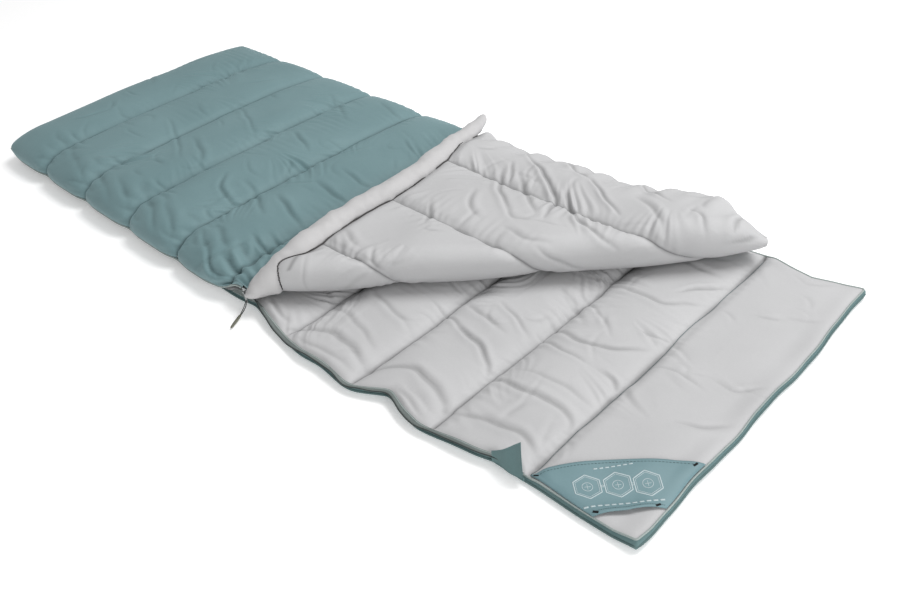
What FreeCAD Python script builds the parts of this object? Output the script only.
import FreeCAD, Part
import Sketcher
import os

# Quilted sleeping bag lying flat, with the mouth corner of its top layer turned back.
# Pieces are drawn with x from the foot end to the mouth, y from the zip edge to the
# closed edge and z up from the floor. Placement then moves the origin to the middle of
# the footprint. The flap is drawn closed, then turned over about the diagonal fold.

Vector = FreeCAD.Vector
Rotation = FreeCAD.Rotation
doc = FreeCAD.newDocument("sleeping_bag")

# ---------------------------------------------------------------------------
# Driving dimensions, millimetres and plain numbers
# ---------------------------------------------------------------------------
DIMENSIONS = [
    ("top_length", 2000.0),        # foot end to the mouth edge of the top layer
    ("head_length", 240.0),        # head section that only the bottom layer has
    ("bag_width", 850.0),          # zip edge to closed edge
    ("channel_count", 9.0),        # quilt channels in the top layer's length
    ("fold_start", 1150.0),        # where the fold leaves the zip edge
    ("sheet_thick", 1.0),          # fabric sheet, with its seam take-up
    ("seam_flat", 3.0),            # half width of the flattened strip at a seam
    ("bottom_seam_height", 8.0),   # bottom padding under a seam, from the floor
    ("bottom_crest", 29.0),        # bottom padding at mid channel
    ("head_height", 13.0),         # head padding
    ("top_middle", 69.0),          # mid height of the top layer when closed
    ("top_half_seam", 1.5),        # half thickness of the padding at a seam
    ("top_half_crest", 18.0),      # half thickness of the padding at mid channel
    ("hinge_height", 91.0),        # height of the fold line
    ("fold_gap", 0.7),             # clearance at the diagonal cut, along x
    ("fold_outer", 41.0),          # outer radius of the padded fold
    ("fold_inner", 3.0),           # inner radius of the padded fold
    ("fold_from", 60.0),           # fold roll start, along the fold line
    ("fold_to", 1180.0),           # fold roll end, along the fold line
    ("quilt_start", 58.0),         # quilted panel starts this far from the zip
    ("tube_radius", 22.0),         # draft tube
    ("tube_offset", 34.0),         # draft tube centre from the zip edge
    ("tube_height", 60.0),         # draft tube centre height when closed
    ("facing_height", 88.0),       # top of the zip facing when closed
    ("zip_start", 20.0),           # first tooth from the foot end
    ("zip_end", 1990.0),           # last tooth
    ("chain_height", 46.0),        # middle of the closed zip chain
    ("coil_radius", 1.5),
    ("chain_gap", 2.0),            # open space the slider's post runs in
    ("tape_thick", 1.0),
    ("tape_foot", 14.0),           # lower edge of the lower tape
    ("flap_zip_start", 1190.0),    # first tooth on the turned back part
    ("piping_radius", 2.5),
    ("bottom_piping_radius", 3.0),
    ("slider_at", 1158.0),         # slider rest position from the foot end
    ("slider_length", 22.0),
    ("slider_half_height", 9.5),
    ("bar_radius", 1.0),           # bar the pull turns on
    ("bar_out", 9.0),              # bar distance outside the zip plane
    ("pull_length", 30.0),
    ("pull_width", 9.0),
    ("cord_radius", 1.3),
    ("cord_length", 38.0),
    ("grip_radius", 4.0),
    ("grip_length", 44.0),
    ("tab_start", 1935.0),         # end tab, from the foot end
    ("tab_end", 2000.0),
    ("tab_out", 9.5),              # outer face of the end tab from the zip edge
    ("tab_top", 84.0),
    ("tab_foot", 16.0),
    ("stitch_width", 1.2),
    ("stitch_height", 0.6),
]


class Quantity:
    """A number together with the spreadsheet expression it comes from."""

    def __init__(self, value, text):
        self.value = float(value)
        self.text = text

    @staticmethod
    def of(other):
        if isinstance(other, Quantity):
            return other
        return Quantity(other, repr(float(other)))

    def __add__(self, other):
        other = Quantity.of(other)
        return Quantity(self.value + other.value, "(%s + %s)" % (self.text, other.text))

    def __sub__(self, other):
        other = Quantity.of(other)
        return Quantity(self.value - other.value, "(%s - %s)" % (self.text, other.text))

    def __mul__(self, other):
        other = Quantity.of(other)
        return Quantity(self.value * other.value, "(%s * %s)" % (self.text, other.text))

    def __truediv__(self, other):
        other = Quantity.of(other)
        return Quantity(self.value / other.value, "(%s / %s)" % (self.text, other.text))

    def __neg__(self):
        return Quantity(-self.value, "(0 - %s)" % self.text)


class Dimensions:
    """Every driving dimension as a Quantity, under its alias."""


dim = Dimensions()
sheet = doc.addObject("Spreadsheet::Sheet", "Dimensions")
for row, (alias, value) in enumerate(DIMENSIONS, 1):
    sheet.set("A%d" % row, alias)
    sheet.set("B%d" % row, "%g" % value)
    sheet.setAlias("B%d" % row, alias)
    setattr(dim, alias, Quantity(value, "Dimensions." + alias))
doc.recompute()

# Values shared by several sections
thick = dim.sheet_thick
width = dim.bag_width
top_length = dim.top_length
head_end = top_length + dim.head_length
pitch = top_length / dim.channel_count
seams = [pitch * float(k) for k in range(1, int(dim.channel_count.value))]
fold_start = dim.fold_start
quilt_start = dim.quilt_start
bottom_seam = dim.bottom_seam_height
facing_top = dim.facing_height
top_upper = dim.top_middle + dim.top_half_crest    # crest of the top padding
top_lower = dim.top_middle - dim.top_half_crest    # its lowest line
shift_x = -head_end / 2.0
shift_y = -width / 2.0


# ---------------------------------------------------------------------------
# Placement and registration
# ---------------------------------------------------------------------------
nodes = []


def bind(obj, prop, quantity):
    obj.setExpression(prop, Quantity.of(quantity).text)


def place(obj, x, y, z, rotation=Rotation()):
    base = [Quantity.of(offset) for offset in (x, y, z)]
    obj.Placement = FreeCAD.Placement(Vector(*[offset.value for offset in base]), rotation)
    for axis, offset in zip("xyz", base):
        bind(obj, "Placement.Base." + axis, offset)


def place_base(obj):
    place(obj, shift_x, shift_y, 0.0)


def place_flap(obj):
    # Half a turn about the fold line: x and y trade places and z is mirrored
    # about the height of the hinge.
    place(obj, shift_x + fold_start, shift_y - fold_start, dim.hinge_height * 2.0,
          Rotation(Vector(1, 1, 0), 180))


def place_fold(obj):
    # x of the sketch across the fold, y down, pad direction along the fold line
    half = 0.5 ** 0.5
    matrix = FreeCAD.Matrix(half, 0, half, 0,
                            -half, 0, half, 0,
                            0, -1, 0, 0,
                            0, 0, 0, 1)
    place(obj, shift_x + fold_start, shift_y, dim.hinge_height,
          FreeCAD.Placement(matrix).Rotation)


def node(obj, label, placer=place_base):
    """Label and place a finished piece, and list it for export."""
    obj.Label = label
    placer(obj)
    nodes.append(obj)


# ---------------------------------------------------------------------------
# Sketches and features
# ---------------------------------------------------------------------------
# Pad direction: the plane its sketch lies on, and whether the pad is reversed.
# The normal of the XZ plane points to -y.
DIRECTIONS = {
    "+X": ("YZ_Plane", False),
    "+Y": ("XZ_Plane", True),
    "-Y": ("XZ_Plane", False),
    "+Z": ("XY_Plane", False),
}


def new_body(label):
    return doc.addObject("PartDesign::Body", label + "_body")


def origin_feature(body, role):
    return next(o for o in body.Origin.OriginFeatures if o.Role == role)


def new_sketch(body, name, plane, offset):
    """Empty sketch on an origin plane, offset along the plane's normal."""
    sketch = body.newObject("Sketcher::SketchObject", name)
    sketch.AttachmentSupport = [(origin_feature(body, plane), "")]
    sketch.MapMode = "FlatFace"
    sketch.AttachmentOffset = FreeCAD.Placement(Vector(0, 0, offset.value), Rotation())
    bind(sketch, "AttachmentOffset.Base.z", offset)
    return sketch


def constrain(sketch, kind, *geometry, size):
    index = sketch.addConstraint(Sketcher.Constraint(kind, *geometry, size.value))
    bind(sketch, "Constraints[%d]" % index, size)


def fix_point(sketch, edge, vertex, x, y):
    constrain(sketch, "DistanceX", -1, 1, edge, vertex, size=x)
    constrain(sketch, "DistanceY", -1, 1, edge, vertex, size=y)


def arc_radius(rise, chord):
    height = rise if rise.value > 0 else -rise
    if chord.value < 0:
        chord = -chord
    return (height * height + chord * chord / 4.0) / (height * 2.0)


def draw_outline(sketch, outline, arcs):
    """Fully dimensioned closed outline. arcs maps an edge index to the rise of
    its middle along the sketch's y; edge i runs from point i to point i + 1."""
    points = [(Quantity.of(x), Quantity.of(y)) for x, y in outline]
    count = len(points)
    edges = []    # geometry index, start vertex, end vertex
    for i in range(count):
        start, end = [Vector(x.value, y.value, 0)
                      for x, y in (points[i], points[(i + 1) % count])]
        if i not in arcs:
            edges.append((sketch.addGeometry(Part.LineSegment(start, end)), 1, 2))
            continue
        middle = (start + end) * 0.5 + Vector(0, arcs[i].value, 0)
        # a sketch keeps its arcs counter-clockwise
        if (middle - start).cross(end - middle).z > 0:
            edges.append((sketch.addGeometry(Part.Arc(start, middle, end)), 1, 2))
        else:
            edges.append((sketch.addGeometry(Part.Arc(end, middle, start)), 2, 1))
    for i in range(count):
        edge, _, end = edges[i]
        following, start, _ = edges[(i + 1) % count]
        sketch.addConstraint(Sketcher.Constraint("Coincident", edge, end, following, start))
    for i in range(count):
        edge, start, _ = edges[i]
        fix_point(sketch, edge, start, *points[i])
        if i in arcs:
            chord = points[(i + 1) % count][0] - points[i][0]
            constrain(sketch, "Radius", edge, size=arc_radius(arcs[i], chord))


def draw_circle(sketch, x, y, radius):
    x, y, radius = Quantity.of(x), Quantity.of(y), Quantity.of(radius)
    circle = Part.Circle(Vector(x.value, y.value, 0), Vector(0, 0, 1), radius.value)
    edge = sketch.addGeometry(circle)
    fix_point(sketch, edge, 3, x, y)
    constrain(sketch, "Radius", edge, size=radius)


def pad(body, sketch, length, reverse=False, name="pad"):
    feature = body.newObject("PartDesign::Pad", body.Name + "_" + name)
    feature.Profile = sketch
    length = Quantity.of(length)
    feature.Length = length.value
    bind(feature, "Length", length)
    feature.Reversed = reverse
    return feature


def extrude(body, toward, start, length, outline=(), arcs=None, circles=(), name=""):
    """Pad an outline and circles (x, y, radius) from the coordinate start."""
    plane, reverse = DIRECTIONS[toward]
    start = Quantity.of(start)
    offset = -start if plane == "XZ_Plane" else start
    sketch = new_sketch(body, body.Name + "_" + (name or "outline"), plane, offset)
    draw_outline(sketch, outline, arcs or {})
    for circle in circles:
        draw_circle(sketch, *circle)
    return pad(body, sketch, length, reverse, name + "_pad" if name else "pad")


def rectangle(x_span, y_span):
    (x0, x1), (y0, y1) = x_span, y_span
    return [(x0, y0), (x1, y0), (x1, y1), (x0, y1)]


def mirrored(middle, half_outline):
    """Closed outline from (half width, height) points, mirrored about x = middle."""
    return ([(middle - half, z) for half, z in half_outline]
            + [(middle + half, z) for half, z in reversed(half_outline)])


def channels(body, low, high, rise_low, rise_high, start, depth, name, pattern="channels"):
    """Row of quilt channels, padded across the bag. low and high are the heights at
    the seams, rise_* how far mid channel stands above them; rise_low None is flat."""
    flat = dim.seam_flat
    arcs = {}
    if rise_low is None:
        points = [(0.0, low), (pitch, low)]
    else:
        points = [(0.0, low), (flat, low), (pitch - flat, low), (pitch, low)]
        arcs[1] = rise_low
    arcs[len(points) + 1] = rise_high
    points += [(pitch, high), (pitch - flat, high), (flat, high), (0.0, high)]
    first = extrude(body, "+Y", start, depth, points, arcs, name=name)

    row = body.newObject("PartDesign::LinearPattern", body.Name + "_" + pattern)
    row.Originals = [first]
    row.Direction = (origin_feature(body, "X_Axis"), [""])
    span = (dim.channel_count - 1.0) * pitch
    row.Length = span.value
    bind(row, "Length", span)
    row.Occurrences = int(dim.channel_count.value)
    bind(row, "Occurrences", dim.channel_count)
    body.Tip = row


def cut_diagonal(body, keep):
    """Cut along the fold line x = fold_start + y. keep is 'foot' or 'flap'."""
    margin = 300.0          # overshoot of the cut past the zip edge and foot end
    far_y = 1300.0          # beyond the closed edge
    far_x = top_length + 400.0
    if keep == "foot":
        line = fold_start - dim.fold_gap
        points = [(line - margin, -margin), (far_x, -margin), (far_x, far_x - line)]
    else:
        line = fold_start + dim.fold_gap
        points = [(line - margin, -margin), (line + far_y, far_y),
                  (-margin, far_y), (-margin, -margin)]
    sketch = new_sketch(body, body.Name + "_fold_line", "XY_Plane", Quantity.of(0.0))
    draw_outline(sketch, points, {})
    cut = body.newObject("PartDesign::Pocket", body.Name + "_fold_cut")
    cut.Profile = sketch
    cut.Type = "ThroughAll"
    cut.Midplane = True


def solid(label, toward, start, length, outline=(), circles=(), placer=place_base, keep=None):
    """Piece made of one pad, with the diagonal cut when keep is given."""
    body = new_body(label)
    extrude(body, toward, start, length, outline, circles=circles)
    if keep:
        cut_diagonal(body, keep)
    node(body, label, placer)


def block(label, x_span, y_span, z_span, placer=place_base):
    bottom, top = z_span
    solid(label, "+Z", bottom, Quantity.of(top) - bottom, rectangle(x_span, y_span),
          placer=placer)


def rod(label, x_span, y, z, *radii, **options):
    """Round rod along x, or a tube when two radii are given."""
    start, end = x_span
    solid(label, "+X", start, Quantity.of(end) - start,
          circles=[(y, z, radius) for radius in radii], **options)


def box(name, x, y, z, length, across, height):
    feature = doc.addObject("Part::Box", name)
    bind(feature, "Length", length)
    bind(feature, "Width", across)
    bind(feature, "Height", height)
    place(feature, x, y, z)
    return feature


def compound(label, name, parts, placer=place_base):
    group = doc.addObject("Part::Compound", name)
    group.Links = parts
    node(group, label, placer)


def stitches(label, rows, z, placer=place_base):
    """Rows of quilting thread lying in the seams. rows: (x, y start, y end)."""
    parts = [box("%s_row_%d" % (label, i), x - dim.stitch_width / 2.0, start, z,
                 dim.stitch_width, end - start, dim.stitch_height)
             for i, (x, start, end) in enumerate(rows, 1)]
    compound(label, label + "_set", parts, placer)


# ---------------------------------------------------------------------------
# Bottom layer
# ---------------------------------------------------------------------------
head_height = dim.head_height
bottom_rise = dim.bottom_crest - bottom_seam
ramp_end = top_length + 15.0      # head padding reaches its full height here
head_profile = [(top_length, thick), (head_end, thick), (head_end, head_height),
                (ramp_end, head_height), (top_length, bottom_seam)]


def underside_shell():
    """Flat floor sheet with side walls that follow the channels."""
    label = "underside_shell"
    body = new_body(label)
    across = (0.0, width)
    outer_end = head_end + thick
    extrude(body, "+Z", 0.0, thick, rectangle((-thick, outer_end), across), name="floor")
    for start, side in ((0.0, "near"), (width - thick, "far")):
        channels(body, thick, bottom_seam, None, bottom_rise, start, thick, side,
                 pattern=side + "_channels")
        extrude(body, "+Y", start, thick, head_profile, name=side + "_head")
    extrude(body, "+Z", thick, bottom_seam - thick,
            rectangle((-thick, 0.0), across), name="foot_wall")
    extrude(body, "+Z", thick, head_height - thick,
            rectangle((head_end, outer_end), across), name="mouth_wall")
    node(body, label)


def bottom_insulation():
    """One batt pinched at every seam."""
    label = "bottom_insulation"
    body = new_body(label)
    channels(body, thick, bottom_seam, None, bottom_rise, thick, width - thick * 2.0, "batt")
    node(body, label)


def bottom_lining():
    """The sheet the sleeper lies on."""
    label = "bottom_lining"
    body = new_body(label)
    channels(body, bottom_seam, bottom_seam + thick, bottom_rise, bottom_rise,
             0.0, width, "sheet")
    head_top = head_height + thick
    outer_end = head_end + thick
    outline = [(top_length, bottom_seam), (ramp_end, head_height),
               (outer_end, head_height), (outer_end, head_top),
               (ramp_end, head_top), (top_length, bottom_seam + thick)]
    extrude(body, "+Y", 0.0, width, outline, name="head")
    node(body, label)


def corner_band():
    """Band across the mouth corner at the zip edge, with a bartack set."""
    base = head_height + thick
    solid("corner_band", "+Z", base, thick,
          [(top_length + 20.0, 0.0), (top_length + 155.0, 0.0),
           (head_end, 85.0), (head_end, 220.0)])
    long_side, short_side, tack_height = 8.0, 3.0, 0.8
    tacks = [    # x, y, size along x, size along y
        (top_length + 32.0, 3.0, long_side, short_side),
        (top_length + 148.0, 3.0, long_side, short_side),
        (head_end - 9.0, 84.0, short_side, long_side),
        (head_end - 9.0, 200.0, short_side, long_side),
    ]
    parts = [box("bartack_%d" % i, x, y, base + thick, along, across, tack_height)
             for i, (x, y, along, across) in enumerate(tacks, 1)]
    compound("corner_band_bartacks", "bartack_set", parts)


def bottom_layer():
    underside_shell()
    bottom_insulation()
    solid("head_insulation", "+Y", thick, width - thick * 2.0, head_profile)
    bottom_lining()
    stitches("bottom_quilt_thread", [(x, thick * 2.0, width - thick * 2.0) for x in seams],
             bottom_seam + thick)
    radius = dim.bottom_piping_radius
    rod("bottom_edge_piping", (0.0, head_end), -radius, radius * 2.0, radius)
    corner_band()


# ---------------------------------------------------------------------------
# Top layer: the part over the foot and the turned back flap
# ---------------------------------------------------------------------------
top_rise = dim.top_half_crest - dim.top_half_seam
seam_upper = dim.top_middle + dim.top_half_seam
seam_lower = dim.top_middle - dim.top_half_seam


def top_layer(prefix, keep, placer):
    """Quilted layers, zip facing and draft tube on one side of the fold."""
    layers = [    # piece, low, high, rise of low, rise of high, feature name
        ("insulation", seam_lower, seam_upper, -top_rise, top_rise, "batt"),
        ("shell", seam_upper, seam_upper + thick, top_rise, top_rise, "sheet"),
        ("lining", seam_lower - thick, seam_lower, -top_rise, -top_rise, "sheet"),
    ]
    for piece, low, high, rise_low, rise_high, name in layers:
        label = prefix + "_" + piece
        body = new_body(label)
        channels(body, low, high, rise_low, rise_high, quilt_start, width - quilt_start, name)
        cut_diagonal(body, keep)
        node(body, label, placer)

    # facing along the zip: covers the draft tube and joins the quilted edge
    facing = [(0.0, facing_top - thick), (quilt_start - thick, facing_top - thick),
              (quilt_start - thick, top_lower), (quilt_start, top_lower),
              (quilt_start, facing_top), (0.0, facing_top)]
    solid(prefix + "_zip_facing", "+X", 0.0, top_length, facing, placer=placer, keep=keep)

    radius = dim.tube_radius
    for piece, radii in (("cover", (radius, radius - thick)), ("fill", (radius - thick,))):
        rod(prefix + "_draft_tube_" + piece, (0.0, top_length), dim.tube_offset,
            dim.tube_height, *radii, placer=placer, keep=keep)


def top_stitches():
    """Thread of both parts, stopping short of the panel edges and the fold."""
    margin = 3.0
    first = quilt_start + margin
    top_rows, flap_rows = [], []
    for x in seams:
        fold_y = x - fold_start       # where the fold line crosses the seam
        start = first
        if fold_y.value > first.value:
            start = fold_y + margin
            flap_rows.append((x, first, fold_y - margin))
        top_rows.append((x, start, width - margin))
    stitches("top_quilt_thread", top_rows, seam_upper + thick)
    stitches("flap_quilt_thread", flap_rows, seam_lower - thick - dim.stitch_height,
             place_flap)


def side_panels():
    """Panels that close the foot end and the side away from the zip."""
    heights = (bottom_seam + thick, top_upper)
    block("foot_end_panel", (-thick, 0.0), (0.0, width), heights)
    block("far_side_panel", (-thick, top_length - 10.0), (width, width + thick), heights)


def half_roll(label, outer, inner):
    """Half ring padded along the fold line."""
    body = new_body(label)
    sketch = new_sketch(body, label + "_ring", "XY_Plane", dim.fold_from)

    def half_circle(radius):
        return sketch.addGeometry(
            Part.Arc(Vector(0, -radius, 0), Vector(radius, 0, 0), Vector(0, radius, 0)))

    def joint(start, end):
        return sketch.addGeometry(Part.LineSegment(Vector(0, start, 0), Vector(0, end, 0)))

    big, small = outer.value, inner.value
    outer_arc = half_circle(big)
    upper = joint(big, small)
    inner_arc = half_circle(small)
    lower = joint(-small, -big)
    for constraint in (
            ("Coincident", outer_arc, 2, upper, 1),
            ("Coincident", upper, 2, inner_arc, 2),
            ("Coincident", inner_arc, 1, lower, 1),
            ("Coincident", lower, 2, outer_arc, 1),
            ("Coincident", outer_arc, 3, -1, 1),
            ("Coincident", inner_arc, 3, -1, 1),
            ("PointOnObject", upper, 1, -2),
            ("PointOnObject", upper, 2, -2),
            ("PointOnObject", lower, 1, -2)):
        sketch.addConstraint(Sketcher.Constraint(*constraint))
    constrain(sketch, "Radius", outer_arc, size=outer)
    constrain(sketch, "Radius", inner_arc, size=inner)
    pad(body, sketch, dim.fold_to - dim.fold_from)
    node(body, label, place_fold)


def padded_fold():
    """Fold of the turned back corner: lining outside, shell inside."""
    outer, inner = dim.fold_outer, dim.fold_inner
    half_roll("fold_lining", outer, outer - thick)
    half_roll("fold_insulation", outer - thick, inner + thick)
    half_roll("fold_shell", inner + thick, inner)


# ---------------------------------------------------------------------------
# Zip, on the outside of the zip edge (y below 0)
# ---------------------------------------------------------------------------
tape = dim.tape_thick
coil = dim.coil_radius
chain_z = dim.chain_height
coil_y = -tape / 2.0
lower_coil_z = chain_z - dim.chain_gap / 2.0 - coil
upper_coil_z = chain_z + dim.chain_gap / 2.0 + coil
chain_bottom = lower_coil_z - coil
chain_top = upper_coil_z + coil
tape_span = (-tape, 0.0)
piping = dim.piping_radius
piping_y = -tape - piping
piping_z = facing_top - piping

stop_gap = 1.0                # between a stop and the nearest tooth
top_stop_x = (dim.zip_end + stop_gap, dim.zip_end + 6.0)
top_stop_y = (coil_y - 2.0, coil_y + 2.0)


def foot_zip():
    """Lower chain over the whole length, upper chain up to the fold."""
    start = dim.zip_start
    upper_end = fold_start - tape
    block("zip_tape_lower", (0.0, top_length), tape_span, (dim.tape_foot, chain_bottom))
    rod("zip_coil_lower", (start, dim.zip_end), coil_y, lower_coil_z, coil)
    block("zip_tape_upper", (0.0, upper_end), tape_span, (chain_top, facing_top))
    rod("zip_coil_upper", (start, upper_end), coil_y, upper_coil_z, coil)
    rod("top_edge_piping", (0.0, upper_end), piping_y, piping_z, piping)
    block("zip_bottom_stop", (start - 10.0, start - stop_gap),
          (coil_y - 2.5, coil_y + 2.5), (chain_bottom, chain_top))
    block("zip_top_stop_lower", top_stop_x, top_stop_y, (chain_bottom, lower_coil_z + coil))


def flap_trim():
    """Upper chain on the turned back part, with the flap's binding and patch."""
    start = dim.flap_zip_start
    block("flap_zip_tape", (start, top_length), tape_span, (chain_top, facing_top),
          placer=place_flap)
    rod("flap_zip_coil", (start, dim.zip_end), coil_y, upper_coil_z, coil, placer=place_flap)
    rod("flap_edge_piping", (start, top_length), piping_y, piping_z, piping,
        placer=place_flap)
    block("flap_zip_top_stop", top_stop_x, top_stop_y, (upper_coil_z - coil, chain_top),
          placer=place_flap)
    block("flap_mouth_binding", (top_length, top_length + 2.0), (quilt_start, width),
          (top_lower + 1.0, top_upper - 1.0), placer=place_flap)
    block("flap_loop_patch", (top_length - 50.0, top_length - 15.0), (10.0, 35.0),
          (facing_top, facing_top + 1.0), placer=place_flap)


# ---------------------------------------------------------------------------
# Slider and its pulls
# ---------------------------------------------------------------------------
slider_x = dim.slider_at
bar_y = -dim.bar_out
bar = dim.bar_radius
pull_foot = chain_z - dim.pull_length
outer_plate_y = (-5.0, -3.0)
inner_plate_y = (2.0, 4.0)


def slider_body():
    """Two plates joined by the post that runs between the coils."""
    label = "slider_body"
    body = new_body(label)
    half_length = dim.slider_length / 2.0
    bottom = chain_z - dim.slider_half_height
    top = chain_z + dim.slider_half_height
    corner = 3.0              # corner cut of the plates
    plate = mirrored(slider_x, [(half_length - corner, top), (half_length, top - corner),
                                (half_length, bottom + corner),
                                (half_length - corner, bottom)])

    def layer(name, y_span, outline):
        start, end = y_span
        extrude(body, "+Y", start, end - start, outline, name=name)

    layer("outer", outer_plate_y, plate)
    post_length, post_clearance = 6.0, 0.25
    post_end = slider_x + half_length
    post_half = dim.chain_gap / 2.0 - post_clearance
    layer("post", (outer_plate_y[1], inner_plate_y[0]),
          rectangle((post_end - post_length, post_end),
                    (chain_z - post_half, chain_z + post_half)))
    layer("inner", inner_plate_y, plate)

    # short flanges that keep the tapes between the plates
    clearance, flange_height = 0.6, 2.0
    flange_x = (slider_x - half_length + corner, slider_x + half_length - corner)
    for name, y_span in (("outer_flange", (outer_plate_y[1], -tape - clearance)),
                         ("inner_flange", (clearance, inner_plate_y[0]))):
        for side, z_span in (("low", (bottom, bottom + flange_height)),
                             ("high", (top - flange_height, top))):
            layer(name + side, y_span, rectangle(flange_x, z_span))

    # stud for the inner pull
    extrude(body, "+Y", inner_plate_y[1], 3.0, circles=[(slider_x, chain_z, 1.5)],
            name="stud")
    node(body, label)


def slider_bridge():
    """A bar on two legs, standing off the outer plate."""
    label = "slider_bridge"
    body = new_body(label)
    half_length, leg_thick = 5.0, 1.5
    left = slider_x - half_length
    extrude(body, "+X", left, half_length * 2.0, circles=[(bar_y, chain_z, bar)], name="bar")
    leg = rectangle((bar_y, outer_plate_y[0]), (chain_z - bar, chain_z + bar))
    for name, start in (("left", left), ("right", slider_x + (half_length - leg_thick))):
        extrude(body, "+X", start, leg_thick, leg, name=name)
    node(body, label)


def pull_tab():
    """A ring round the bar and a tapered plate below it."""
    label = "pull_tab"
    body = new_body(label)
    ring_half = 3.0
    extrude(body, "+X", slider_x - ring_half, ring_half * 2.0,
            circles=[(bar_y, chain_z, bar + 1.6), (bar_y, chain_z, bar + 0.4)], name="ring")
    half_width = dim.pull_width / 2.0
    plate = mirrored(slider_x, [(2.5, chain_z - bar - 1.3), (half_width, chain_z - 7.0),
                                (half_width, pull_foot + 3.0),
                                (half_width - 2.0, pull_foot)])
    extrude(body, "+Y", bar_y + 0.6, 1.2, plate,
            circles=[(slider_x, pull_foot + 6.5, 1.2)], name="plate")
    node(body, label)


def place_cord(obj):
    # the cord leaves its pivot along its own -y, turned to the mouth and sloping down
    turn = Rotation(Vector(0, 0, 1), 25.0)
    drop = Rotation(Vector(1, 0, 0), 5.5)
    place(obj, shift_x + slider_x, shift_y + bar_y, pull_foot - 2.5, turn.multiply(drop))


def slider_and_pulls():
    slider_body()
    slider_bridge()
    pull_tab()
    solid("pull_cord", "-Y", 0.0, dim.cord_length, circles=[(0.0, 0.0, dim.cord_radius)],
          placer=place_cord)
    solid("cord_grip", "-Y", -dim.cord_length, dim.grip_length,
          circles=[(0.0, 0.0, dim.grip_radius)], placer=place_cord)
    half_width, hole = 3.0, 1.7
    solid("inner_pull_tab", "+Y", 4.5, 1.2,
          rectangle((slider_x - half_width, slider_x + half_width),
                    (chain_z - 12.5, chain_z + 3.0)),
          circles=[(slider_x, chain_z, hole)])


def end_tab():
    """Tab that folds over the parked slider."""
    start, end = dim.tab_start, dim.tab_end
    foot, top = dim.tab_foot, dim.tab_top
    outer = -dim.tab_out
    fabric, patch_thick = 1.5, 1.0
    block("end_tab_anchor", (start, end), (outer, -dim.bottom_piping_radius * 2.0),
          (5.0, foot - 1.5))
    middle = (start + end) / 2.0
    half_tip = 4.0
    solid("end_tab_fabric", "+Y", outer, fabric,
          [(start, foot), (end, foot), (middle + half_tip, top), (middle - half_tip, top)])
    block("end_tab_hook_patch", (start + 20.0, end - 20.0),
          (outer + fabric, outer + (fabric + patch_thick)), (26.0, 42.0))


# ---------------------------------------------------------------------------
# Build, check and export
# ---------------------------------------------------------------------------
bottom_layer()
top_layer("top", "foot", place_base)
top_layer("flap", "flap", place_flap)
top_stitches()
side_panels()
padded_fold()
foot_zip()
flap_trim()
slider_and_pulls()
end_tab()

doc.recompute()
bad = ["%s state %s" % (obj.Name, obj.State) for obj in doc.Objects
       if "Invalid" in obj.State or "Error" in obj.State]
bad += ["%s shape" % obj.Label for obj in nodes
        if obj.Shape.isNull() or not obj.Shape.isValid()]
if bad:
    raise RuntimeError("; ".join(bad))

os.makedirs("parts", exist_ok=True)
for obj in nodes:
    obj.Shape.exportStep("parts/%s.step" % obj.Label)
